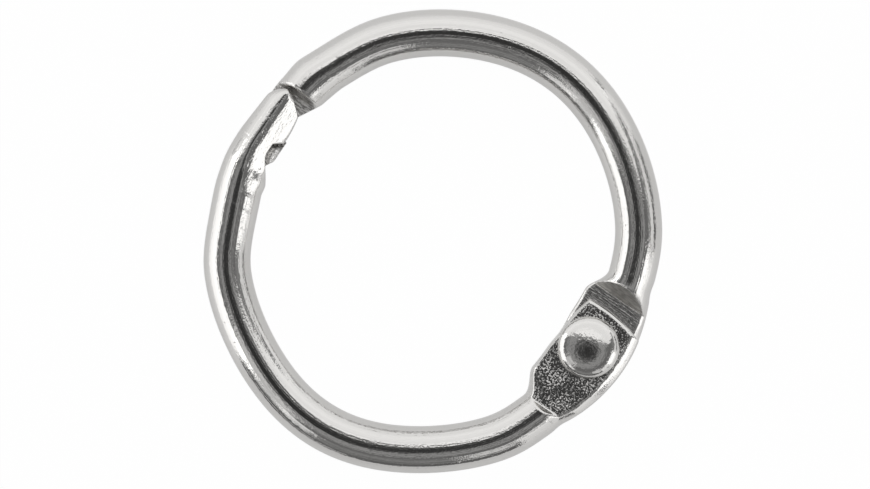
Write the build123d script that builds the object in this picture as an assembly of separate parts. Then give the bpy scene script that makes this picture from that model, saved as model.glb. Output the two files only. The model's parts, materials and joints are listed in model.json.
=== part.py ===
from build123d import *
from math import asin, atan, cos, degrees, hypot, radians, sin, tan
import os

# Binder ring: two bent wire halves, riveted together at a hinge and lapped at a snap clasp.
# The origin is the middle of the ring, on the parting plane where the halves lap each other.
# +Z is the ring's axis, on the side of the rivet's head, and +Y points at the clasp, so the hinge is at -Y.
# The notch half lies at -X and the tongue half at +X. Both start as the same half, turned over about Y.

# Wire and bend, in millimetres.
wire_diameter = 3.15
bend_radius = 13.0  # centre line of the long bend
bend_offset = 1.2  # centre of each half's bend, from the line through hinge and clasp
lap_gap = 0.04  # running clearance between the lapped faces, at the hinge and at the clasp

# Hinge leaf: the wire's end, pressed flat. Distances along it are from the hinge axis.
pivot_inset = 0.5  # hinge axis, inside of the long bend's centre line
leaf_thickness = 1.2
leaf_width = 4.92
leaf_shift = 0.33  # middle of the leaf, outside of the hinge axis
leaf_root = 5.6  # where the round wire starts to spread
spread_end = 2.4  # where it has its full width
leaf_reach = 2.8  # free end, past the hinge axis
leaf_end_width = 4.15
leaf_end_radius = 9.0  # crowning of the cropped end
leaf_end_lean = 0.6  # middle of that crowning, inside of the hinge axis
leaf_end_bevel = 0.16
leaf_face = 4.95  # start of the pressed face
leaf_step_run = 0.3  # length of the slope from the face up to the round wire
swing_clearance = 0.3  # free end to the other half's shoulder, as the ring opens
shoulder_run = 0.95  # length of the slanted shoulder
face_crown_share = 0.9  # height of the spread oval on the face's side, of its half width
shoulder_crown_share = 0.15  # the same on the shoulder's side
leaf_section_count = 7
join_tolerance = 0.005  # between the round wire and the spread end

# Rivet.
shank_diameter = 2.0
bore_clearance = 0.05  # on the radius
head_diameter = 4.1
head_height = 1.1
head_rim = 0.12
tail_diameter = 3.4
tail_height = 0.55
tail_rim = 0.2

# Clasp: the ends are straightened and lapped, one in front of the other.
clasp_slope = 24.0  # degrees, where the long bend ends
clasp_run = 2.06  # straight stretch after the long bend
clasp_radius = 6.0  # bend from there into the straight lap
notch_reach = 2.62  # tip of the front lap, past the middle of the clasp
tongue_reach = 2.25  # tip of the rear lap, past the middle of the clasp
lap_clearance = 0.3  # tip to the other half's shoulder
lap_shoulder_run = 0.65
lap_trim = 1.78  # half length of the trimmed inner edge
lap_inner_width = 1.28  # from the lap's centre line to the middle of that edge
lap_bow = 0.22  # bow of that edge
lap_root_angle = 30.0  # degrees, from that edge out to the round wire
lap_tip_angle = 48.0  # degrees, from that edge up to the tip
lap_taper = 0.15  # how much the outer edge draws in towards the tip
tip_bevel = 0.25

# Catch of the clasp: a tooth on the tongue, in a notch of the front lap.
notch_radius = 1.15
notch_place = 1.14  # middle of the notch, from the middle of the clasp
notch_depth = 0.55  # into the lap's inner edge
notch_draft = 10.0  # degrees
tooth_clearance = 0.1  # tooth to the notch's wall
tooth_height = 0.35  # above the parting plane
tooth_swell = 0.14  # how far the tooth stands out of the lap's inner edge
tooth_slope = 45.0  # degrees, of the flank that the tooth slips out by
track_clearance = 0.08  # that flank to the slope under the front lap

# Derived sizes.
wire_radius = wire_diameter / 2
overrun = wire_diameter  # how far a cutter reaches past what it cuts
pivot_offset = bend_radius - pivot_inset  # hinge axis, from the middle of the ring
half_gap = lap_gap / 2
root_slope = degrees(asin((leaf_root - bend_offset) / bend_radius))
swing_radius = hypot(leaf_reach, leaf_end_width / 2) + swing_clearance
bend_end = (
    -bend_offset - bend_radius * sin(radians(clasp_slope)),
    bend_radius * cos(radians(clasp_slope)),
)
run_end = (
    bend_end[0] + clasp_run * cos(radians(clasp_slope)),
    bend_end[1] + clasp_run * sin(radians(clasp_slope)),
)
lap_start = run_end[0] + clasp_radius * sin(radians(clasp_slope))
lap_height = run_end[1] + clasp_radius * (1 - cos(radians(clasp_slope)))
lap_inner_edge = lap_height - lap_inner_width
notch_top = lap_inner_edge + notch_depth


def wire_path(reach):
    """Centre line of a half at -X, from the root of its leaf to the tip of its lap."""
    long_bend = CenterArc((-bend_offset, 0), bend_radius, 270 - root_slope, root_slope + clasp_slope - 180)
    straight = Line(bend_end, run_end)
    short_centre = (lap_start, lap_height - clasp_radius)
    short_bend = CenterArc(short_centre, clasp_radius, 90 + clasp_slope, -clasp_slope)
    lap = Line((lap_start, lap_height), (reach, lap_height))
    return Wire([long_bend, straight, short_bend, lap])


def oval(place, lean, half_width, front, rear):
    """Section of the spread wire: two half ellipses of one width, with a height for each side."""
    outline = EllipticalCenterArc((0, 0), half_width, front, 0, arc_size=180)
    outline += EllipticalCenterArc((0, 0), half_width, rear, 180, arc_size=180)
    plane = Plane(place, x_dir=(sin(lean), cos(lean), 0), z_dir=(cos(lean), -sin(lean), 0))
    return plane * make_face(outline)


def ease(share):
    """From 0 to 1, level at both ends."""
    share = min(max(share, 0), 1)
    return share * share * (3 - 2 * share)


def leaf_blank():
    """The spread end of a half at -X, before it is faced: round at the bend, then wider and level."""
    root_height = -bend_radius * cos(radians(root_slope))
    drop = -pivot_offset - leaf_shift - root_height
    root_run = leaf_root * tan(radians(root_slope))
    step = (leaf_reach + leaf_root) / leaf_section_count
    sections = []
    for index in range(leaf_section_count + 1):
        along = index * step - leaf_root
        share = min(index * step / leaf_root, 1)
        height = root_height + drop * ease(share) - root_run * share * (1 - share) ** 2
        slope = (6 * drop * share - root_run * (1 - 3 * share)) * (1 - share) / leaf_root
        widening = ease((along + leaf_root) / (leaf_root - spread_end))
        half_width = wire_radius + (leaf_width / 2 - wire_radius) * widening
        half_width += (leaf_end_width - leaf_width) / 2 * (max(along, 0) / leaf_reach) ** 2
        front = half_width * (1 - (1 - face_crown_share) * widening)
        rear = half_width * (1 - (1 - shoulder_crown_share) * widening)
        sections.append(oval((along, height, 0), atan(-slope), half_width, front, rear))
    return loft(sections)


def across(height, points):
    """A cutter with this outline in X and Z, across the wire at one height in Y."""
    outline = Plane.XZ.offset(-height) * make_face(Polyline(points, close=True))
    return extrude(outline, leaf_width, both=True)


def upright(outline):
    """A cutter with this outline in X and Y, right through the wire."""
    return extrude(make_face(outline), wire_diameter, both=True)


def hinge_cuts():
    """What is taken off a half at -X to leave its leaf: the shoulder, the face, the bore and the end."""
    far = leaf_reach + overrun
    low = -wire_diameter
    high = leaf_width
    shoulder_slope = shoulder_run / wire_radius
    shoulder = [
        (far, half_gap),
        (-swing_radius, half_gap),
        (-swing_radius - shoulder_slope * (half_gap - low), low),
        (far, low),
    ]
    step_slope = leaf_step_run / (wire_radius - leaf_thickness)
    face = [
        (far, leaf_thickness),
        (-leaf_face, leaf_thickness),
        (-leaf_face - step_slope * (high - leaf_thickness), high),
        (far, high),
    ]
    bore = Pos(0, -pivot_offset, 0) * Cylinder(shank_diameter / 2 + bore_clearance, 2 * leaf_width)
    crown_centre = Pos(leaf_reach - leaf_end_radius, -pivot_offset + leaf_end_lean, 0)
    end = Pos(leaf_reach, -pivot_offset, 0) * Box(leaf_reach, 2 * leaf_width, 2 * leaf_width)
    end -= crown_centre * Cylinder(leaf_end_radius, 2 * leaf_width)
    return across(-pivot_offset, shoulder) + across(-pivot_offset, face) + bore + end


def lap_cuts(reach, other_reach):
    """What is taken off a half at -X to leave its lap: the shoulder, the inner trim and the outer taper."""
    far = reach + overrun
    low = -wire_diameter
    foot = other_reach + lap_clearance
    slope = lap_shoulder_run / wire_radius
    shoulder = [(far, half_gap), (-foot, half_gap), (-foot - slope * (half_gap - low), low), (far, low)]
    edge_end = lap_inner_edge + lap_bow
    below = lap_height - 2 * wire_diameter
    root = (-lap_trim - overrun, edge_end - overrun * tan(radians(lap_root_angle)))
    tip = (far, edge_end + (far - lap_trim) * tan(radians(lap_tip_angle)))
    trim = Polyline((lap_trim, edge_end), tip, (far, below), (root[0], below), root, (-lap_trim, edge_end))
    trim += ThreePointArc((-lap_trim, edge_end), (0, lap_inner_edge), (lap_trim, edge_end))
    outer = lap_height + wire_radius
    taper_slope = lap_taper / (lap_trim + reach)
    taper = Polyline(
        (-lap_trim, outer),
        (far, outer - taper_slope * (far + lap_trim)),
        (far, outer + overrun),
        (-lap_trim, outer + overrun),
        close=True,
    )
    return across(lap_height, shoulder) + upright(trim) + upright(taper)


def edges_at(half, axis, place, beyond, height):
    """Edges of a half whose middle has this place on an axis, past one X, near one height in Y."""
    at_place = half.edges().filter_by_position(axis, place - join_tolerance, place + join_tolerance)
    at_end = at_place.filter_by(lambda edge: edge.center().X > beyond)
    return at_end.filter_by(lambda edge: abs(edge.center().Y - height) < leaf_width)


def half_blank(reach, other_reach):
    """A half at -X, with its leaf and its lap on the side of +Z."""
    path = wire_path(reach)
    section = Plane(path @ 0, z_dir=path % 0) * Circle(wire_radius)
    blank = sweep(section, path=path).solid().fuse(leaf_blank().solid(), tol=join_tolerance)
    half = blank - hinge_cuts() - lap_cuts(reach, other_reach)
    end_edges = edges_at(half, Axis.Z, leaf_thickness, leaf_reach / 2, -pivot_offset)
    half = half.chamfer(leaf_end_bevel, None, end_edges)
    tip_edges = edges_at(half, Axis.X, reach, reach / 2, lap_height)
    tip_edges = tip_edges.filter_by(lambda edge: edge.center().Z > lap_gap)
    return half.chamfer(tip_bevel, None, tip_edges)


def about_hinge(points):
    """A ring about the hinge axis, with this outline in radius and Z."""
    plane = Plane((0, -pivot_offset, 0), x_dir=(0, 1, 0), z_dir=(1, 0, 0))
    outline = plane * make_face(Polyline(points, close=True))
    return revolve(outline, Axis((0, -pivot_offset, 0), (0, 0, 1)))


def tooth_outline(clearance, inner, low):
    """Outline of the tooth in radius and Z, with a slanted flank on its outer side."""
    slope = tan(radians(tooth_slope))
    flank = pivot_offset + notch_top - tooth_clearance + clearance / sin(radians(tooth_slope))
    top = tooth_height + clearance
    return [(inner, low), (inner, top), (flank - top / slope, top), (flank, 0), (flank, low)]


def make_notch_half():
    half = half_blank(notch_reach, tongue_reach)
    top_radius = notch_radius + wire_radius * tan(radians(notch_draft))
    notch_centre = Pos(-notch_place, notch_top - notch_radius, wire_radius / 2)
    half -= notch_centre * Cone(notch_radius, top_radius, wire_radius)
    inner = pivot_offset + lap_inner_edge - overrun
    track = about_hinge(tooth_outline(track_clearance, inner, -overrun))
    track_length = notch_place + notch_reach + overrun
    track_middle = Pos(track_length / 2 - notch_place, lap_height, 0)
    track &= track_middle * Box(track_length, 2 * leaf_width, 2 * leaf_width)
    return half - track


def make_tongue_half():
    half = half_blank(tongue_reach, notch_reach).rotate(Axis.Y, 180)
    inner = pivot_offset + lap_inner_edge - tooth_swell
    tooth = about_hinge(tooth_outline(0, inner, -wire_radius / 2))
    notch_centre = Pos(-notch_place, notch_top - notch_radius, 0)
    tooth &= notch_centre * Cylinder(notch_radius - tooth_clearance, wire_diameter)
    return half + tooth


def make_hinge_rivet():
    head = head_diameter / 2
    shank = shank_diameter / 2
    tail = tail_diameter / 2
    seat = leaf_thickness
    tail_seat = -leaf_thickness - lap_gap
    top = seat + head_height
    bottom = tail_seat - tail_height
    outline = TangentArc((0, top), (head, seat + head_rim), tangent=(1, 0))
    outline += Polyline((head, seat + head_rim), (head, seat), (shank, seat), (shank, tail_seat))
    outline += Polyline((shank, tail_seat), (tail, tail_seat), (tail, tail_seat - tail_rim))
    outline += TangentArc((0, bottom), (tail, tail_seat - tail_rim), tangent=(1, 0))
    outline += Line((0, bottom), (0, top))
    return Pos(0, -pivot_offset, 0) * revolve(Plane.XZ * make_face(outline), Axis.Z)


os.makedirs("parts", exist_ok=True)
export_step(make_notch_half(), "parts/notch_half.step")
export_step(make_tongue_half(), "parts/tongue_half.step")
export_step(make_hinge_rivet(), "parts/hinge_rivet.step")
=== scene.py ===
import json
from math import asin, atan, atan2, cos, hypot, pi, radians, sin, sqrt, tan

import bmesh
import bpy
from mathutils import Matrix, Vector


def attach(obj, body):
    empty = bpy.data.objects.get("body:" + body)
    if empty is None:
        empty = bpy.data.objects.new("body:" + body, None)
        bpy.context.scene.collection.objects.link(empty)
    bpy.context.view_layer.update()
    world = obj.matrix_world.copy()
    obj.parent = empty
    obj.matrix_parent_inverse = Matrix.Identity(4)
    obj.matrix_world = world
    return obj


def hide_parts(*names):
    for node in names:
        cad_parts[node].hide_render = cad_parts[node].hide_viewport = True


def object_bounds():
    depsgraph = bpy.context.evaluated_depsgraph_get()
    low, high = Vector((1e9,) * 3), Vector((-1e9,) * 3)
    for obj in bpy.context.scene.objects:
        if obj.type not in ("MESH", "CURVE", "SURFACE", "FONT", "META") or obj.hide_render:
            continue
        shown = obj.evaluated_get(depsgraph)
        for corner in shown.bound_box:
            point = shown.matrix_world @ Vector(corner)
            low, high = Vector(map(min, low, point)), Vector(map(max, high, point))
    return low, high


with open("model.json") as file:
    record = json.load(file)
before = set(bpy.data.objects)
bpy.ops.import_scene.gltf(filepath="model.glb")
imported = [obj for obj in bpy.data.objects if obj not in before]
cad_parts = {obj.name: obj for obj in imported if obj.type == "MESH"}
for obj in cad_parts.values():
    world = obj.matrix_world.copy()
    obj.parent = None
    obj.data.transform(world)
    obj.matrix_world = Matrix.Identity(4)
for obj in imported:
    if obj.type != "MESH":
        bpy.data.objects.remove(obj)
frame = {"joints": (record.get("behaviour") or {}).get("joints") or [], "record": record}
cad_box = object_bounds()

# Wires: each half is one length of drawn steel wire, bent round a former to half a ring.
# Both are the same blank, made here on the -X side: the tongue half is that blank turned over about Y.
# The former leaves the long bend a little fuller in two places, more so on the notch half.
MM = 0.001
wire_radius = frame["record"]["mounts"][0]["dims"]["r_mm"]
pivot_offset = -frame["joints"][0]["pos_m"][1] / MM
bend_radius = 13.0
bend_offset = 1.2
leaf_root = 5.6
clasp_slope = radians(24.0)
clasp_run = 2.06
clasp_radius = 6.0
lap_reach = {"notch_half": 2.62, "tongue_half": 2.25}
bend_swell = {"notch_half": 0.135, "tongue_half": 0.08}
swell_place = radians(65.9)
swell_pitch = radians(66.0)
swell_bias = 0.25
swell_fade = radians(16.0)
cap_shares = (0.94, 0.8, 0.55, 0.4)
around_count = 96
bend_steps = 150
run_steps = 20
turn_steps = 24
lap_steps = 100

root_slope = asin((leaf_root - bend_offset) / bend_radius)
bend_turn = pi - root_slope - clasp_slope
bend_end = Vector((-bend_offset - bend_radius * sin(clasp_slope), bend_radius * cos(clasp_slope), 0))
run_end = bend_end + clasp_run * Vector((cos(clasp_slope), sin(clasp_slope), 0))
lap_start = run_end.x + clasp_radius * sin(clasp_slope)
lap_height = run_end.y + clasp_radius * (1 - cos(clasp_slope))


def ease(share):
    """From 0 to 1, level at both ends."""
    share = min(max(share, 0), 1)
    return share * share * (3 - 2 * share)


def carry_on(bm, edges):
    """One more ring beyond an open end: its vertices and edges, still in place."""
    grown = bmesh.ops.extrude_edge_only(bm, edges=edges)["geom"]
    verts = [item for item in grown if isinstance(item, bmesh.types.BMVert)]
    ring = set(verts)
    edges = [item for item in grown if isinstance(item, bmesh.types.BMEdge) and ring.issuperset(item.verts)]
    return verts, edges


def close_end(bm, edges):
    """Closes an open end with a few shrinking rings and a last small face, and gives their vertices."""
    rim = [vert.co for edge in edges for vert in edge.verts]
    centre = sum(rim, Vector()) / len(rim)
    cap = []
    for share in cap_shares:
        verts, edges = carry_on(bm, edges)
        bmesh.ops.scale(bm, vec=(share, share, share), space=Matrix.Translation(-centre), verts=verts)
        cap += verts
    bmesh.ops.edgeloop_fill(bm, edges=edges)
    return cap


def bent_wire(reach, swell):
    """The round blank, from its leaf's root to its lap's tip, and the open edges at both ends."""
    bm = bmesh.new()
    grain = bm.verts.layers.float_vector.new("grain")
    start = 1.5 * pi - root_slope
    outward = Vector((cos(start), sin(start), 0))
    foot = Matrix((outward, (0, 0, 1), outward.cross((0, 0, 1)))).transposed().to_4x4()
    foot.translation = Vector((-bend_offset, 0, 0)) + bend_radius * outward
    ring = bmesh.ops.create_circle(bm, segments=around_count, radius=wire_radius, matrix=foot)["verts"]
    for vert in ring:
        local = foot.inverted() @ vert.co
        vert[grain] = (local.x, local.y, 0)
    root_edges = bm.edges[:]

    last = bmesh.ops.spin(
        bm,
        geom=ring + root_edges,
        cent=(-bend_offset, 0, 0),
        axis=(0, 0, 1),
        angle=-bend_turn,
        steps=bend_steps,
    )["geom_last"]
    for vert in bm.verts:
        spoke = Vector((vert.co.x + bend_offset, vert.co.y, 0))
        angle = start - atan2(spoke.y, spoke.x) % (2 * pi)
        vert[grain].z = bend_radius * angle
        fuller = cos(2 * pi * (angle - swell_place) / swell_pitch) + swell_bias
        fuller *= ease(angle / swell_fade) * ease((bend_turn - angle) / swell_fade)
        vert.co += swell * fuller * spoke.normalized()
    edges = [item for item in last if isinstance(item, bmesh.types.BMEdge)]

    step = (run_end - bend_end) / run_steps
    for index in range(run_steps):
        verts, edges = carry_on(bm, edges)
        bmesh.ops.translate(bm, vec=step, verts=verts)
        for vert in verts:
            vert[grain].z += step.length
    short_centre = Vector((lap_start, lap_height - clasp_radius, 0))
    turn = Matrix.Rotation(-clasp_slope / turn_steps, 3, "Z")
    for index in range(turn_steps):
        verts, edges = carry_on(bm, edges)
        bmesh.ops.rotate(bm, cent=short_centre, matrix=turn, verts=verts)
        for vert in verts:
            vert[grain].z += clasp_radius * clasp_slope / turn_steps
    step = Vector((reach - lap_start, 0, 0)) / lap_steps
    for index in range(lap_steps):
        verts, edges = carry_on(bm, edges)
        bmesh.ops.translate(bm, vec=step, verts=verts)
        for vert in verts:
            vert[grain].z += step.x
    return bm, root_edges, edges


blanks = {node: bent_wire(reach, bend_swell[node]) for node, reach in lap_reach.items()}

# Hinge leaves: one end of each wire, spread flat between dies and cropped to a shallow curve.
# The die's coarse grain stays on the front face, and the outer edge is left round.
# The parting face is ground level, and slants away behind it to let the other leaf swing.
leaf_thickness = 1.2
half_gap = 0.02
leaf_width = 4.92
leaf_shift = 0.33
spread_end = 2.4
leaf_reach = 2.8
leaf_end_width = 4.15
leaf_end_radius = 9.0
leaf_end_lean = 0.6
leaf_end_round = 0.28
outer_bow_height = 2.819
outer_bow = 0.0494
outer_bow_run = 1.2
inner_belly = 1.015
inner_belly_run = 2.2
inner_waist = 0.12
inner_waist_run = 1.5
face_start = 4.95
face_step_run = 0.3
face_crown = 0.95
face_crown_lean = 0.42
root_lean = 0.07
root_lean_run = 0.9
back_crown = 0.15
outer_edge_round = 0.55
inner_edge_round = 0.18
edge_round_run = 2.2
swing_clearance = 0.3
shoulder_run = 0.95
ground_flat = 0.3
ground_shoulder = 0.45
ground_fade = 0.4
bore_radius = 1.05
leaf_steps = 120
edge_round = 0.1
fine_edge_round = 0.05
swing_radius = hypot(leaf_reach, leaf_end_width / 2) + swing_clearance


def soft_min(a, b, width):
    """The lower of two heights, with the corner between them rounded over this width."""
    share = min(max(0.5 + (b - a) / (2 * width), 0), 1)
    return b + (a - b) * share - width * share * (1 - share)


def soft_max(a, b, width):
    """The higher of two heights, with the corner between them rounded over this width."""
    return -soft_min(-a, -b, width)


def leaf_edge_round(out):
    """Radius of the rounded edge of the parting face, larger on the leaf's outer side."""
    return outer_edge_round if out > 0 else inner_edge_round


def leaf_edge_share(along):
    """How much of that rounding has built up at one place along the leaf."""
    return ease((along + leaf_root) / edge_round_run)


def leaf_point(along, out, up):
    """Where a point of the round wire, given on its unit circle, goes to at one place along the leaf."""
    rooted = along + leaf_root
    root_height = -bend_radius * cos(root_slope)
    drop = -pivot_offset - leaf_shift - root_height
    root_run = leaf_root * tan(root_slope)
    share = min(rooted / leaf_root, 1)
    height = root_height + drop * ease(share) - root_run * share * (1 - share) ** 2
    lean = atan((6 * drop * share - root_run * (1 - 3 * share)) * (1 - share) / leaf_root)
    if out > 0:
        bow = outer_bow_height - outer_bow * (along + wire_radius * sin(lean)) ** 2
        side = (height + pivot_offset + bow) / cos(lean)
        side = wire_radius + (side - wire_radius) * ease(rooted / outer_bow_run)
    else:
        side = wire_radius + inner_belly * ease(rooted / inner_belly_run)
        side -= inner_waist * ease((along + inner_waist_run) / inner_waist_run)
        side += (leaf_end_width - leaf_width) / 2 * (max(along, 0) / leaf_reach) ** 2
    widening = ease(rooted / (leaf_root - spread_end))
    crown = face_crown - face_crown_lean * out if up > 0 else back_crown
    rise = up * (wire_radius + (leaf_width / 2 - wire_radius) * widening) * (1 - (1 - crown) * widening)
    if up > 0:
        near_root = ease(rooted / root_lean_run) * ease((-along - spread_end) / root_lean_run)
        rise *= 1 - root_lean * ease(2 * out) * near_root
    rise += leaf_edge_round(out) * leaf_edge_share(along) * out**4
    return Vector((along + side * out * sin(lean), height - side * out * cos(lean), rise))


def leaf_end(y):
    """How far along the leaf its cropped end is."""
    crown_y = -pivot_offset + leaf_end_lean
    return leaf_reach - leaf_end_radius + sqrt(leaf_end_radius**2 - (y - crown_y) ** 2)


def spread_leaf(bm, edges):
    """Carries the wire on from its root to the free end of the leaf, and gives the open edges there."""
    grain = bm.verts.layers.float_vector["grain"]
    step = (leaf_reach + leaf_root) / leaf_steps
    for index in range(leaf_steps):
        verts, edges = carry_on(bm, edges)
        for vert in verts:
            vert.co = leaf_point((index + 1) * step - leaf_root, *(vert[grain].xy / wire_radius))
            vert[grain].z -= step
    return edges


def press_leaf(bm):
    """Presses the spread end: its front face, its parting face, the shoulder and the cropped end."""
    grain = bm.verts.layers.float_vector["grain"]
    stamped = bm.verts.layers.float.new("stamped")
    ground = bm.verts.layers.float.new("ground")
    shoulder_rise = wire_radius / shoulder_run
    step_rise = (wire_radius - leaf_thickness) / face_step_run
    for vert in bm.verts:
        x, y, z = vert.co
        if y > -bend_radius / 2 or x < -leaf_root - leaf_width:
            continue
        end = leaf_end(y)
        x = soft_min(x, end, fine_edge_round)
        past = max(leaf_end_round - max(end - x, 0), 0)
        face = leaf_thickness + max(-face_start - x, 0) * step_rise
        face -= leaf_end_round - sqrt(leaf_end_round**2 - past**2)
        out = vert[grain].x / wire_radius
        rounding = leaf_edge_round(out)
        from_edge = min(max(leaf_width / 2 * (1 - abs(out)), 0), rounding)
        lift = rounding - sqrt(rounding**2 - (rounding - from_edge) ** 2)
        behind = max(-swing_radius - x, 0)
        floor = half_gap - behind * shoulder_rise + lift * leaf_edge_share(x)
        past_step = ease((x + face_start) / edge_round)
        before_end = ease((end - x - leaf_end_round) / edge_round + 1)
        vert[stamped] = ease((z - face) / edge_round) * min(past_step, before_end)
        vert[ground] = ease((floor - z) / fine_edge_round + 0.5)
        vert[ground] *= ease(1 - (1 - from_edge / rounding) / ground_fade)
        vert[ground] *= ground_shoulder if behind else ground_flat
        z = soft_min(z, face, edge_round)
        z = soft_max(z, floor, fine_edge_round)
        vert.co = (x, y, z)


def bore_leaf(bm):
    """Opens the rivet's hole: clears both faces there, rounds what is left and joins their rims."""
    near = [vert for vert in bm.verts if hypot(vert.co.x, vert.co.y + pivot_offset) < bore_radius]
    bmesh.ops.delete(bm, geom=near, context="VERTS")
    rims = [edge for edge in bm.edges if edge.is_boundary]
    for vert in {vert for edge in rims for vert in edge.verts}:
        spoke = Vector((vert.co.x, vert.co.y + pivot_offset)).normalized()
        vert.co.xy = bore_radius * spoke - Vector((0, pivot_offset))
    bmesh.ops.bridge_loops(bm, edges=rims)


for bm, root_edges, tip_edges in blanks.values():
    end_edges = spread_leaf(bm, root_edges)
    press_leaf(bm)
    for vert in close_end(bm, end_edges):
        vert.co.x = leaf_end(vert.co.y)

# Clasp: the wires' other ends, filed down to half laps that lie on each other where the ring closes.
# The front lap has a notch in its inner edge, a pressed slant, a dented kink and a lip.
# The rear lap's tooth snaps up into this notch as the wires spring past each other. Both keep a die's mark.
lap_clearance = 0.2
lap_shoulder_run = 0.5
lap_shoulder_round = 0.1
lap_trim = 1.78
lap_inner_width = 1.28
lap_bow = 0.22
lap_root_rise = tan(radians(30.0))
lap_tip_rise = tan(radians(48.0))
lap_taper = 0.3
tip_round = 0.3
tip_corner = 0.85
tip_lean = 0.32
tip_lean_height = 13.75
tip_lean_width = 0.8
tip_lean_rise = 0.8
tip_lean_run = 0.9
kick_place = 1.14
kick = 0.115
kick_rise = 0.063
kick_dip = 0.065
kick_run = 2.5
kick_return = 2.8
tuck = 0.22
tuck_place = 5.2
tuck_run = 1.9
slant_height = 1.53
slant_place = 0.16
slant_rise = tan(radians(25.0))
slant_join = 0.2
slant_end = 1.2
slant_fade = 3.2
slant_lift = 0.3
slant_rough = 0.4
slant_rough_end = 2.6
slant_rough_fade = 0.16
mark_place = {"notch_half": 5.35, "tongue_half": 6.55}
mark_run = 0.15
mark_depth = 0.011
mark_lean = 0.4
lip_place = 3.3
lip_run = 0.8
lip_height = 0.14
dent_run = 0.15
dent_depth = 0.06
dent_start = 0.5
dent_fade = 0.15
dent_rise = 0.4
rough_unground = 0.75
notch_place = 1.14
notch_depth = 0.56
notch_draft = tan(radians(8.0))
notch_start = 0.05
notch_wall_rise = 1.24
notch_run_end = 2.18
notch_run_height = 12.1
notch_run_rise = 0.713
tooth_clearance = 0.1
tooth_height = 0.35
tooth_swell = 0.14
tooth_crest = 0.16
tooth_fall = tan(radians(24.0))
tooth_rough = 0.8
tooth_end = 1.6
tooth_end_rise = tan(radians(30.0))
track_clearance = 0.08
merge_distance = 0.002
lap_inner_edge = lap_height - lap_inner_width
notch_top = lap_inner_edge + notch_depth
notch_foot = lap_inner_edge - lap_bow / 3
notch_far_end = notch_run_end + 2 * wire_radius / 3


def kicked(x):
    """How far the front lap stands out of the ring's curve: most at its kink, with a dip behind it."""
    past = max(-kick_place - x, 0)
    dip = -kick_dip * (1 - ease((past - kick_run) / kick_return))
    return soft_max(kick - kick_rise * past, dip, kick_dip / 2)


def lap_inner(x):
    """The trimmed inner edge of a lap: bowed along its middle, slanted at its root and at its tip."""
    if x < -lap_trim - 2 * wire_radius:
        return 0
    if x < -lap_trim:
        return lap_inner_edge + lap_bow + (x + lap_trim) * lap_root_rise
    if x > lap_trim:
        return lap_inner_edge + lap_bow + (x - lap_trim) * lap_tip_rise
    return lap_inner_edge + lap_bow * (x / lap_trim) ** 2


def notch_wall(x, z):
    """How far out the notch goes at one place: a steep wall, a level top and a long run out."""
    run_out = notch_run_height + (x + notch_run_end) * notch_run_rise
    draft = (wire_radius - z) * notch_draft
    steep = notch_foot - (x + notch_start + draft) * notch_wall_rise
    return soft_min(soft_min(run_out, notch_top, 2 * edge_round), steep, edge_round)


def track_height(x, y):
    """Height of the slanted track under the front lap that the tooth slips out by."""
    flank = pivot_offset + notch_top - tooth_clearance + track_clearance * sqrt(2)
    return min(max(flank - hypot(x, y + pivot_offset), 0), tooth_height + track_clearance)


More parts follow.
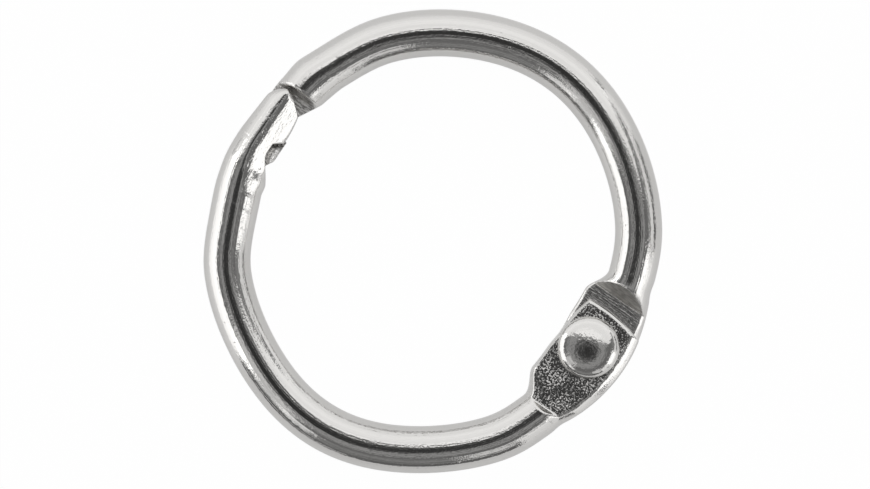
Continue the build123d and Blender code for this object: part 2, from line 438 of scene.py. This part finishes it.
def file_lap(bm, reach, other_reach, marked, notched):
    """Files one end down to its half lap, with the front half's notch or the rear one's tooth."""
    grain = bm.verts.layers.float_vector["grain"]
    ground = bm.verts.layers.float["ground"]
    stamped = bm.verts.layers.float["stamped"]
    smoothed = bm.verts.layers.float.new("smoothed")
    foot = other_reach + lap_clearance
    shoulder_rise = wire_radius / lap_shoulder_run
    outer_start = lap_height + wire_radius + (kick if notched else -tuck)
    taper = lap_taper / (kick_place + reach)
    for vert in bm.verts:
        x, y, z = vert.co
        if y < bend_radius / 2 or x < -leaf_root - leaf_width:
            continue
        out = vert[grain].x / wire_radius
        rough = 0
        pressed = mark_depth * ease((x + marked) / mark_run + 0.5)
        y -= pressed * out * mark_lean
        z *= 1 - pressed / wire_radius
        if notched:
            lip = lip_height * ease(1 - abs(x + lip_place) / lip_run) * max(-out, 0) ** 2
            rough = ease(1 - abs(x + kick_place) / dent_run)
            rough *= ease((out - dent_start) / dent_fade) * ease(z / dent_rise)
            y += kicked(x) - lip - dent_depth * rough
        else:
            y -= tuck * ease((x + tuck_place) / tuck_run)
        untrimmed = y

        inner = lap_inner(x)
        cut = notch_wall(x if notched else -x, z if notched else 0)
        in_notch = notched and -notch_far_end < x < 0
        in_tooth = not notched and notch_start < x < notch_run_end and z < half_gap
        if in_notch:
            rough = ease((cut - y) / edge_round) * ease((x + notch_run_end) / edge_round)
            inner = soft_max(inner, cut, fine_edge_round)
        if in_tooth:
            rough = tooth_rough * ease((cut - y) / edge_round)
            swell = lap_inner_edge - tooth_swell + max(x - tooth_end, 0) * tooth_end_rise
            inner = soft_min(inner, swell, fine_edge_round)
        y = soft_max(y, inner, fine_edge_round)
        y = soft_min(y, outer_start - max(x + kick_place, 0) * taper, edge_round)

        if notched and z > 0 and x > -slant_end - slant_fade:
            level = slant_height + slant_lift * ease((-slant_end - x) / slant_fade)
            slant = level + (out * wire_radius + y - untrimmed - slant_place) * slant_rise
            crushed = slant_rough * ease((x + slant_rough_end) / slant_rough_fade)
            rough = max(rough, crushed * ease(1 - abs(z - slant) / slant_join))
            vert[smoothed] = ease((z - slant) / slant_join + 0.5)
            z = soft_min(z, slant, slant_join)
        past = max(x - reach + tip_corner, 0)
        if y > lap_height:
            corner = tip_corner - sqrt(max(tip_corner**2 - past**2, 0))
            y = lap_height + (y - lap_height) * (1 - corner / wire_radius)
        past = max(tip_round - max(reach - x, 0), 0)
        if z > half_gap:
            z *= 1 - (tip_round - sqrt(tip_round**2 - past**2)) / wire_radius

        floor = half_gap - max(-foot - x, 0) * shoulder_rise
        if notched and x > -notch_place:
            floor = max(floor, track_height(x, y))
        if in_tooth:
            inside = max(cut - tooth_clearance - y, 0)
            floor = -soft_min(inside, tooth_crest - (inside - tooth_crest) * tooth_fall, fine_edge_round)
        vert[ground] = ease((floor - z) / fine_edge_round + 0.5) * (1 - rough_unground * rough)
        vert[ground] *= ground_shoulder if x < -foot else 1
        vert[stamped] = rough
        if notched and z > half_gap:
            lean = ease(1 - abs(y - tip_lean_height) / tip_lean_width)
            lean *= ease((z - half_gap) / tip_lean_rise)
            x += tip_lean * lean * ease((x - reach) / tip_lean_run + 1)
        z = soft_max(z, floor, fine_edge_round if x > -foot else lap_shoulder_round)
        vert.co = (x, y, z)


def finished(bm, name, node, body):
    """The mesh object of one piece, in place of its node, with points that the cuts made coincide merged."""
    bmesh.ops.remove_doubles(bm, verts=bm.verts, dist=merge_distance)
    bmesh.ops.dissolve_degenerate(bm, edges=bm.edges, dist=merge_distance)
    bmesh.ops.scale(bm, vec=(MM, MM, MM), verts=bm.verts)
    bmesh.ops.recalc_face_normals(bm, faces=bm.faces)
    for face in bm.faces:
        face.smooth = True
    mesh = bpy.data.meshes.new(name)
    bm.to_mesh(mesh)
    bm.free()
    piece = bpy.data.objects.new(name, mesh)
    bpy.context.scene.collection.objects.link(piece)
    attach(piece, body)
    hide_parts(node)
    return piece


front, rear = (bm for bm, root_edges, tip_edges in blanks.values())
front_reach, rear_reach = lap_reach.values()
file_lap(front, front_reach, rear_reach, mark_place["notch_half"], notched=True)
file_lap(rear, rear_reach, front_reach, mark_place["tongue_half"], notched=False)
for bm, root_edges, tip_edges in blanks.values():
    close_end(bm, tip_edges)
    bore_leaf(bm)
bmesh.ops.rotate(rear, matrix=Matrix.Rotation(pi, 3, "Y"), verts=rear.verts)
halves = [
    finished(front, "notch_half_wire", "notch_half", "notch_side"),
    finished(rear, "tongue_half_wire", "tongue_half", "tongue_side"),
]

# Plating of the halves: bright nickel over the steel, as it comes from the barrel.
# The drawing lines of the wire show through it, with a soft peel and a few nicks.
# The stamped faces stay coarse under it, and the ground ones are satin with fine lines.
nickel = (0.66, 0.65, 0.635, 1)
nickel_satin = (0.8, 0.79, 0.775, 1)
nickel_groove = (0.34, 0.335, 0.325, 1)
bright_roughness = 0.05
streak_roughness = 0.03
stamped_roughness = 0.03
ground_roughness = 0.5
streak_height = 0.01
peel_height = 0.008
sand_height = 0.006
nick_depth = 0.01
stamped_height = 0.022
ground_height = 0.07
fine_line_stretch = (7, 7, 0.05)
broad_line_stretch = (1.6, 1.6, 0.05)
peel_stretch = (7, 7, 2.5)
brush_stretch = (9, 1.5, 0)
fine_line_share = 1.5
broad_line_share = 2.0
patch_share = 1.1
patch_base = 0.35
noise_detail = 2.0
sand_detail = 1.0
sand_scale = 9.0
nick_scale = 0.9
grit_scale = 7.5
patch_scale = 0.9
dent_scale = 4.5
tone_limits = (0.35, 0.75)
nick_limits = (0.1, 0.04)
grit_limits = (0.5, 0.76)
patch_limits = (0.42, 0.66)
groove_limits = (0.38, 0.6)


def add(tree, kind, inputs=None, **settings):
    """One more node, with its settings, and each input given as a value or as the socket it comes from."""
    made = tree.nodes.new(kind)
    for name, value in settings.items():
        setattr(made, name, value)
    for key, value in (inputs or {}).items():
        if isinstance(value, bpy.types.NodeSocket):
            tree.links.new(value, made.inputs[key])
        else:
            made.inputs[key].default_value = value
    return made


def group(name, inputs, outputs):
    """An empty node group with these vector inputs and value outputs, and its input and output nodes."""
    tree = bpy.data.node_groups.new(name, "ShaderNodeTree")
    for socket in inputs:
        tree.interface.new_socket(socket, in_out="INPUT", socket_type="NodeSocketVector")
    for socket in outputs:
        tree.interface.new_socket(socket, in_out="OUTPUT", socket_type="NodeSocketFloat")
    return tree, tree.nodes.new("NodeGroupInput"), tree.nodes.new("NodeGroupOutput")


def math(tree, operation, a, b=0.0):
    """The result of one sum."""
    return add(tree, "ShaderNodeMath", {0: a, 1: b}, operation=operation).outputs[0]


def total(tree, *parts):
    """The sum of several values, each times its own share."""
    result = math(tree, "MULTIPLY", *parts[0])
    for value, share in parts[1:]:
        result = math(tree, "ADD", result, math(tree, "MULTIPLY", value, share))
    return result


def ramp(tree, value, low, high):
    """A value brought from the range between low and high to 0 to 1."""
    inputs = {"Value": value, "From Min": low, "From Max": high}
    return add(tree, "ShaderNodeMapRange", inputs, interpolation_type="SMOOTHSTEP").outputs[0]


def stretched(tree, vector, sizes):
    """A vector scaled by its own amount along each axis."""
    return add(tree, "ShaderNodeVectorMath", {0: vector, 1: sizes}, operation="MULTIPLY").outputs[0]


def noise(tree, vector, detail, scale=1.0):
    """Soft noise over a vector."""
    return add(tree, "ShaderNodeTexNoise", {"Vector": vector, "Scale": scale, "Detail": detail}).outputs[0]


def mixed(tree, share, a, b):
    """One colour, going over to another by a share."""
    return add(tree, "ShaderNodeMix", {0: share, 6: a, 7: b}, data_type="RGBA").outputs[2]


grain_tree, grain_in, grain_out = group("drawn_grain", ["Grain"], ["Height", "Tone", "Peel", "Sand"])
drawing = grain_in.outputs["Grain"]
fine_lines = noise(grain_tree, stretched(grain_tree, drawing, fine_line_stretch), noise_detail)
broad_lines = noise(grain_tree, stretched(grain_tree, drawing, broad_line_stretch), noise_detail)
lines = total(grain_tree, (fine_lines, fine_line_share), (broad_lines, broad_line_share))
peel = noise(grain_tree, stretched(grain_tree, drawing, peel_stretch), noise_detail)
sand = noise(grain_tree, drawing, sand_detail, sand_scale)
grain_tree.links.new(lines, grain_out.inputs["Height"])
grain_tree.links.new(ramp(grain_tree, fine_lines, *tone_limits), grain_out.inputs["Tone"])
grain_tree.links.new(peel, grain_out.inputs["Peel"])
grain_tree.links.new(sand, grain_out.inputs["Sand"])

wear_tree, wear_in, wear_out = group("plating_wear", ["Place"], ["Nicks", "Dents", "Coarse", "Brushed"])
place = stretched(wear_tree, wear_in.outputs["Place"], (1 / MM, 1 / MM, 1 / MM))
cells = add(wear_tree, "ShaderNodeTexVoronoi", {"Vector": place, "Scale": nick_scale}).outputs["Distance"]
grit = ramp(wear_tree, noise(wear_tree, place, noise_detail, grit_scale), *grit_limits)
patches = ramp(wear_tree, noise(wear_tree, place, noise_detail, patch_scale), *patch_limits)
coarse = math(wear_tree, "MULTIPLY", grit, total(wear_tree, (patches, patch_share), (patch_base, 1.0)))
dents = noise(wear_tree, place, noise_detail, dent_scale)
brushed = noise(wear_tree, stretched(wear_tree, place, brush_stretch), noise_detail)
wear_tree.links.new(ramp(wear_tree, cells, *nick_limits), wear_out.inputs["Nicks"])
wear_tree.links.new(dents, wear_out.inputs["Dents"])
wear_tree.links.new(coarse, wear_out.inputs["Coarse"])
wear_tree.links.new(brushed, wear_out.inputs["Brushed"])

wire_plating = bpy.data.materials.new("bright_nickel_wire")
wire_plating.use_nodes = True
tree = wire_plating.node_tree
shader = tree.nodes["Principled BSDF"]
shader.inputs["Metallic"].default_value = 1
stamped = add(tree, "ShaderNodeAttribute", attribute_name="stamped").outputs["Fac"]
ground = add(tree, "ShaderNodeAttribute", attribute_name="ground").outputs["Fac"]
smoothed = add(tree, "ShaderNodeAttribute", attribute_name="smoothed").outputs["Fac"]
grain = add(tree, "ShaderNodeGroup", node_tree=grain_tree)
tree.links.new(
    add(tree, "ShaderNodeAttribute", attribute_name="grain").outputs["Vector"], grain.inputs["Grain"]
)
wear = add(tree, "ShaderNodeGroup", node_tree=wear_tree)
tree.links.new(add(tree, "ShaderNodeTexCoord").outputs["Object"], wear.inputs["Place"])
grooves = ramp(tree, wear.outputs["Brushed"], *groove_limits)
satin = mixed(tree, grooves, nickel_groove, nickel_satin)
tree.links.new(mixed(tree, ground, nickel, satin), shader.inputs["Base Color"])
roughness = total(
    tree,
    (grain.outputs["Tone"], streak_roughness),
    (stamped, stamped_roughness),
    (ground, ground_roughness),
    (bright_roughness, 1.0),
)
tree.links.new(roughness, shader.inputs["Roughness"])
drawn = total(tree, (grain.outputs["Height"], streak_height), (grain.outputs["Sand"], sand_height))
height = total(
    tree,
    (math(tree, "MULTIPLY", drawn, math(tree, "SUBTRACT", 1.0, smoothed)), 1.0),
    (grain.outputs["Peel"], peel_height),
    (wear.outputs["Nicks"], -nick_depth),
    (math(tree, "MULTIPLY", wear.outputs["Coarse"], stamped), stamped_height),
    (math(tree, "MULTIPLY", wear.outputs["Brushed"], ground), ground_height),
)
bump = add(tree, "ShaderNodeBump", {"Height": height, "Distance": MM, "Strength": 1.0})
tree.links.new(bump.outputs[0], shader.inputs["Normal"])
for piece in halves:
    piece.data.materials.append(wire_plating)

# Rivet: a solid steel rivet through both leaves, plated bright like the wires.
# Its head is set by a shallow cup, so it is nearly level in the middle and drops quickly at its rim.
# The tail is formed the same way behind, and the blows of the setting leave it a little dented.
head_radius = 2.05
head_height = 1.1
head_rim = 0.42
shank_radius = 1.0
tail_radius = 1.7
tail_height = 0.55
tail_rim = 0.2
cup_slope = 0.41
cup_power = 12
cup_offset = 0.3
head_steps = 40
tail_steps = 24
rivet_steps = 128
rivet_roughness = 0.1
rivet_dents = 0.014


def dome(radius, rim, height, steps):
    """Points of a set head: from its middle out to its rim and down to its seat."""
    shallow = radius * cup_slope / 2
    steep = height - rim - shallow
    shares = [index / steps for index in range(steps + 1)]
    points = [(radius * share, height - shallow * share**2 - steep * share**cup_power) for share in shares]
    return points + [(radius, rim / 2), (radius, 0)]


tail_seat = -leaf_thickness - 2 * half_gap
outline = [(r, leaf_thickness + h) for r, h in dome(head_radius, head_rim, head_height, head_steps)]
outline += [(shank_radius, leaf_thickness), (shank_radius, tail_seat)]
outline += [(r, tail_seat - h) for r, h in reversed(dome(tail_radius, tail_rim, tail_height, tail_steps))]
bm = bmesh.new()
verts = [bm.verts.new((r, -pivot_offset, h)) for r, h in outline]
edges = [bm.edges.new(pair) for pair in zip(verts, verts[1:])]
bmesh.ops.spin(
    bm,
    geom=verts + edges,
    cent=(0, -pivot_offset, 0),
    axis=(0, 0, 1),
    angle=2 * pi,
    steps=rivet_steps,
    use_merge=True,
)
for vert in bm.verts:
    if vert.co.z > leaf_thickness + head_rim:
        share = hypot(vert.co.x, vert.co.y + pivot_offset) / head_radius
        vert.co.y -= cup_offset * (1 - share**2)
rivet = finished(bm, "hinge_rivet_dome", "hinge_rivet", "notch_side")

rivet_plating = bpy.data.materials.new("bright_nickel_rivet")
rivet_plating.use_nodes = True
tree = rivet_plating.node_tree
shader = tree.nodes["Principled BSDF"]
shader.inputs["Metallic"].default_value = 1
shader.inputs["Base Color"].default_value = nickel
wear = add(tree, "ShaderNodeGroup", node_tree=wear_tree)
tree.links.new(add(tree, "ShaderNodeTexCoord").outputs["Object"], wear.inputs["Place"])
roughness = total(tree, (wear.outputs["Coarse"], rivet_roughness), (rivet_roughness, 1.0))
tree.links.new(roughness, shader.inputs["Roughness"])
height = math(tree, "MULTIPLY", wear.outputs["Dents"], rivet_dents)
bump = add(tree, "ShaderNodeBump", {"Height": height, "Distance": MM, "Strength": 1.0})
tree.links.new(bump.outputs[0], shader.inputs["Normal"])
rivet.data.materials.append(rivet_plating)

# Floor: a plain white sheet with a slight gloss that the ring lies on.
# It is burnt out to white like the photograph's ground, and keeps a trace of the ring's own shadow.
floor_size = 1.5
floor_colour = (0.9, 0.9, 0.9, 1)
floor_roughness = 0.3
floor_white = 0.985
floor_mirrored = 0.38
bm = bmesh.new()
bmesh.ops.create_grid(
    bm, x_segments=1, y_segments=1, size=floor_size, matrix=Matrix.Translation((0, 0, cad_box[0].z))
)
floor_mesh = bpy.data.meshes.new("floor")
bm.to_mesh(floor_mesh)
bm.free()
floor = bpy.data.objects.new("floor", floor_mesh)
bpy.context.scene.collection.objects.link(floor)
paper = bpy.data.materials.new("white_paper")
paper.use_nodes = True
tree = paper.node_tree
shader = tree.nodes["Principled BSDF"]
shader.inputs["Base Color"].default_value = floor_colour
shader.inputs["Roughness"].default_value = floor_roughness
glow = add(tree, "ShaderNodeEmission", {"Color": (1, 1, 1, 1), "Strength": 1.0})
path = add(tree, "ShaderNodeLightPath")
seen = math(tree, "MAXIMUM", path.outputs["Is Camera Ray"], path.outputs["Is Transmission Ray"])
mirrored = math(tree, "MULTIPLY", path.outputs["Is Glossy Ray"], floor_mirrored)
whitened = math(tree, "MAXIMUM", math(tree, "MULTIPLY", seen, floor_white), mirrored)
sheet = add(tree, "ShaderNodeMixShader", {0: whitened, 1: shader.outputs[0], 2: glow.outputs[0]})
tree.links.new(sheet.outputs[0], tree.nodes["Material Output"].inputs["Surface"])
floor_mesh.materials.append(paper)

# Studio light: a large soft panel beyond the clasp, a soft box at the left and smaller cards round the ring.
# Each is placed by its bearing in the picture and its tilt from straight up.
# The room above is dim, with a paler ring round the camera.
photo_turn = radians(-55.7)
panel_distance = 0.6
panels = (
    # name, bearing, tilt, width, height, shift aside, radiance
    ("panel_top", 78, 55, 2.37, 1.0, 0.715, 0.9),
    ("panel_top_right", 32, 80, 0.165, 0.25, 0, 0.88),
    ("panel_right", 7.5, 70, 0.35, 0.23, 0, 0.74),
    ("panel_left", 181, 72, 0.63, 0.46, 0, 1.3),
    ("panel_low_left", 216, 50, 0.2, 0.4, 0, 0.5),
    ("panel_low_left_corner", 231, 62, 0.13, 0.19, 0, 0.64),
    ("panel_low", 288, 60, 0.16, 0.25, 0, 0.5),
    ("panel_low_middle", 307.5, 71, 0.175, 0.5, 0, 0.76),
    ("panel_low_right", 334.5, 61, 0.31, 0.37, 0, 1.35),
    ("panel_low_right_foot", 335, 88, 0.38, 0.19, 0, 1.1),
)
room_lean = radians(6)
room_bearing = radians(215) + photo_turn
room_levels = (
    (0, 0.03),
    (0.1, 0.055),
    (0.17, 0.14),
    (0.24, 0.36),
    (0.3, 0.36),
    (0.37, 0.17),
    (0.5, 0.18),
    (0.66, 0.3),
    (0.82, 0.16),
    (1, 0.12),
)
for name, bearing, tilt, wide, high, aside, radiance in panels:
    turn = radians(bearing) + photo_turn
    tilt = radians(tilt)
    toward = Vector((sin(tilt) * cos(turn), sin(tilt) * sin(turn), cos(tilt)))
    lamp = bpy.data.lights.new(name, "AREA")
    lamp.shape = "RECTANGLE"
    lamp.size = wide
    lamp.size_y = high
    lamp.energy = radiance * pi * wide * high
    holder = bpy.data.objects.new(name, lamp)
    holder.location = panel_distance * toward + aside * Vector((-sin(turn), cos(turn), 0))
    holder.rotation_euler = toward.to_track_quat("Z", "Y").to_euler()
    bpy.context.scene.collection.objects.link(holder)

world = bpy.data.worlds.new("studio")
world.use_nodes = True
tree = world.node_tree
middle = (sin(room_lean) * cos(room_bearing), sin(room_lean) * sin(room_bearing), cos(room_lean))
facing = {0: add(tree, "ShaderNodeTexCoord").outputs["Generated"], 1: middle}
upward = add(tree, "ShaderNodeVectorMath", facing, operation="DOT_PRODUCT").outputs["Value"]
room = add(tree, "ShaderNodeValToRGB", {0: math(tree, "DIVIDE", math(tree, "ARCCOSINE", upward), pi / 2)})
stops = room.color_ramp.elements
for position, level in room_levels:
    stop = stops[0] if position == 0 else stops[-1] if position == 1 else stops.new(position)
    stop.color = (level, level, level, 1)
tree.links.new(room.outputs[0], tree.nodes["Background"].inputs["Color"])
bpy.context.scene.world = world

# Camera: straight above the ring with a long lens, as the photograph is taken.
# Its height makes a pixel as wide on the ring as the photograph's pixel is.
photo_width = 870
photo_pixel = 0.0668 * MM
camera_x = -0.1 * MM
camera_y = -0.198 * MM
camera_lens = 250
camera_sensor = 36
camera_clip = 0.01
camera_data = bpy.data.cameras.new("camera")
camera_data.lens = camera_lens
camera_data.sensor_width = camera_sensor
camera_data.clip_start = camera_clip
camera_height = photo_width * photo_pixel * camera_lens / camera_sensor
camera = bpy.data.objects.new("camera", camera_data)
camera.location = (camera_x, camera_y, camera_height)
camera.rotation_euler = (0, 0, photo_turn)
bpy.context.scene.collection.objects.link(camera)
bpy.context.scene.camera = camera
bpy.context.scene.view_settings.view_transform = "Standard"
